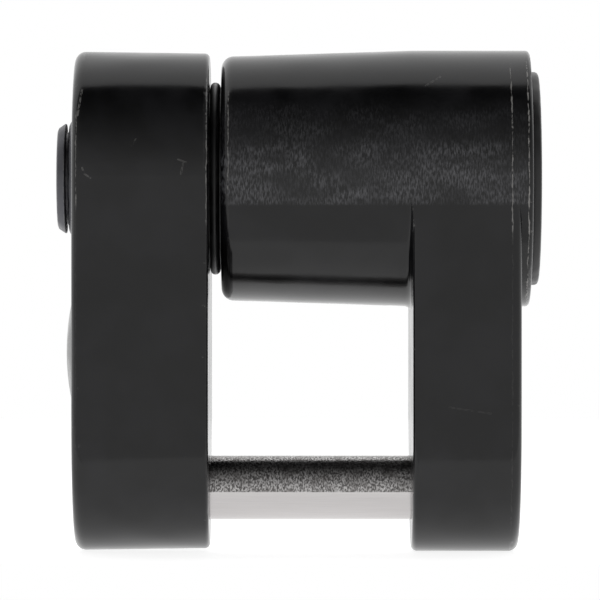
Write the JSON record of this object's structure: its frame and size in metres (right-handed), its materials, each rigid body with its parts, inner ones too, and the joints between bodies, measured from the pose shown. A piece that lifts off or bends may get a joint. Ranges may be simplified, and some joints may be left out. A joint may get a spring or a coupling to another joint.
{
  "type": "trailer coupler latch lock",
  "caption": "Key-operated latch lock: a pull-off locking head and a lock body close a bare steel pin through a coupler latch.",
  "frame": {"origin": "middle of the bare latch pin, on its axis", "axes": "+X along the latch pin from the locking head to the key end, +Z from the latch pin to the lock barrel, -Y to the front"},
  "size_m": [0.0477, 0.0254, 0.0497],
  "materials": {
    "black_coated_zinc": "satin black coating on a die casting",
    "black_steel": "black oxide on turned steel",
    "bare_steel": "bright plated steel with fine pitting",
    "spring_steel": "bright spring steel",
    "plated_zinc": "plain zinc casting",
    "nickel_brass": "nickel plated brass",
    "pin_brass": "turned brass",
    "black_rubber": "smooth black rubber",
    "black_medallion": "plain black disc"
  },
  "bodies": {
    "lock_body": {"lock_body": "black_coated_zinc", "latch_pin": "bare_steel", "core_housing": "nickel_brass", "core_pin": "spring_steel", "chamber_cover": "nickel_brass", "pin_spring_1": "spring_steel", "pin_spring_2": "spring_steel", "pin_spring_3": "spring_steel", "pin_spring_4": "spring_steel"},
    "locking_head": {"locking_head": "black_coated_zinc", "locking_stud": "black_steel", "stud_washer": "black_steel", "stud_clip": "spring_steel", "neck_seal": "black_rubber", "blank_medallion": "black_medallion"},
    "key_plug": {"key_plug": "nickel_brass", "drive_cam": "plated_zinc", "cam_screw": "spring_steel"},
    "locking_bolt": {"locking_bolt": "plated_zinc"},
    "dust_cap": {"dust_cap": "black_rubber"},
    "key_pin_1": {"key_pin_1": "pin_brass"},
    "driver_pin_1": {"driver_pin_1": "pin_brass"},
    "key_pin_2": {"key_pin_2": "pin_brass"},
    "driver_pin_2": {"driver_pin_2": "pin_brass"},
    "key_pin_3": {"key_pin_3": "pin_brass"},
    "driver_pin_3": {"driver_pin_3": "pin_brass"},
    "key_pin_4": {"key_pin_4": "pin_brass"},
    "driver_pin_4": {"driver_pin_4": "pin_brass"}
  },
  "joints": [
    {"name": "head_pull", "type": "slide", "parent": "lock_body", "child": "locking_head", "axis": [-1, 0, 0], "range_m": [0, 0.045]},
    {"name": "plug_turn", "type": "hinge", "parent": "lock_body", "child": "key_plug", "pos_m": [0, 0, 0.0307], "axis": [-1, 0, 0], "range_deg": [0, 90]},
    {"name": "bolt_lift", "type": "slide", "parent": "lock_body", "child": "locking_bolt", "axis": [0, 0, 1], "range_m": [0, 0.00368]},
    {"name": "cap_pull", "type": "slide", "parent": "lock_body", "child": "dust_cap", "axis": [1, 0, 0], "range_m": [0, 0.012]},
    {"name": "key_pin_1_drop", "type": "slide", "parent": "key_plug", "child": "key_pin_1", "axis": [0, 0, -1], "range_m": [0, 0.0008]},
    {"name": "driver_pin_1_lift", "type": "slide", "parent": "lock_body", "child": "driver_pin_1", "axis": [0, 0, 1], "range_m": [0, 0.0009], "stiffness_N_per_m": 60, "springref_m": -0.001, "deforming": ["pin_spring_1"]},
    {"name": "key_pin_2_drop", "type": "slide", "parent": "key_plug", "child": "key_pin_2", "axis": [0, 0, -1], "range_m": [0, 0.0016]},
    {"name": "driver_pin_2_lift", "type": "slide", "parent": "lock_body", "child": "driver_pin_2", "axis": [0, 0, 1], "range_m": [0, 0.0009], "stiffness_N_per_m": 60, "springref_m": -0.001, "deforming": ["pin_spring_2"]},
    {"name": "key_pin_3_drop", "type": "slide", "parent": "key_plug", "child": "key_pin_3", "axis": [0, 0, -1], "range_m": [0, 0.0012]},
    {"name": "driver_pin_3_lift", "type": "slide", "parent": "lock_body", "child": "driver_pin_3", "axis": [0, 0, 1], "range_m": [0, 0.0009], "stiffness_N_per_m": 60, "springref_m": -0.001, "deforming": ["pin_spring_3"]},
    {"name": "key_pin_4_drop", "type": "slide", "parent": "key_plug", "child": "key_pin_4", "axis": [0, 0, -1], "range_m": [0, 0.002]},
    {"name": "driver_pin_4_lift", "type": "slide", "parent": "lock_body", "child": "driver_pin_4", "axis": [0, 0, 1], "range_m": [0, 0.0009], "stiffness_N_per_m": 60, "springref_m": -0.001, "deforming": ["pin_spring_4"]}
  ],
  "couplings": [
    {"joint": "plug_turn", "follows": "bolt_lift", "rad_per_m": 427.19}
  ]
}
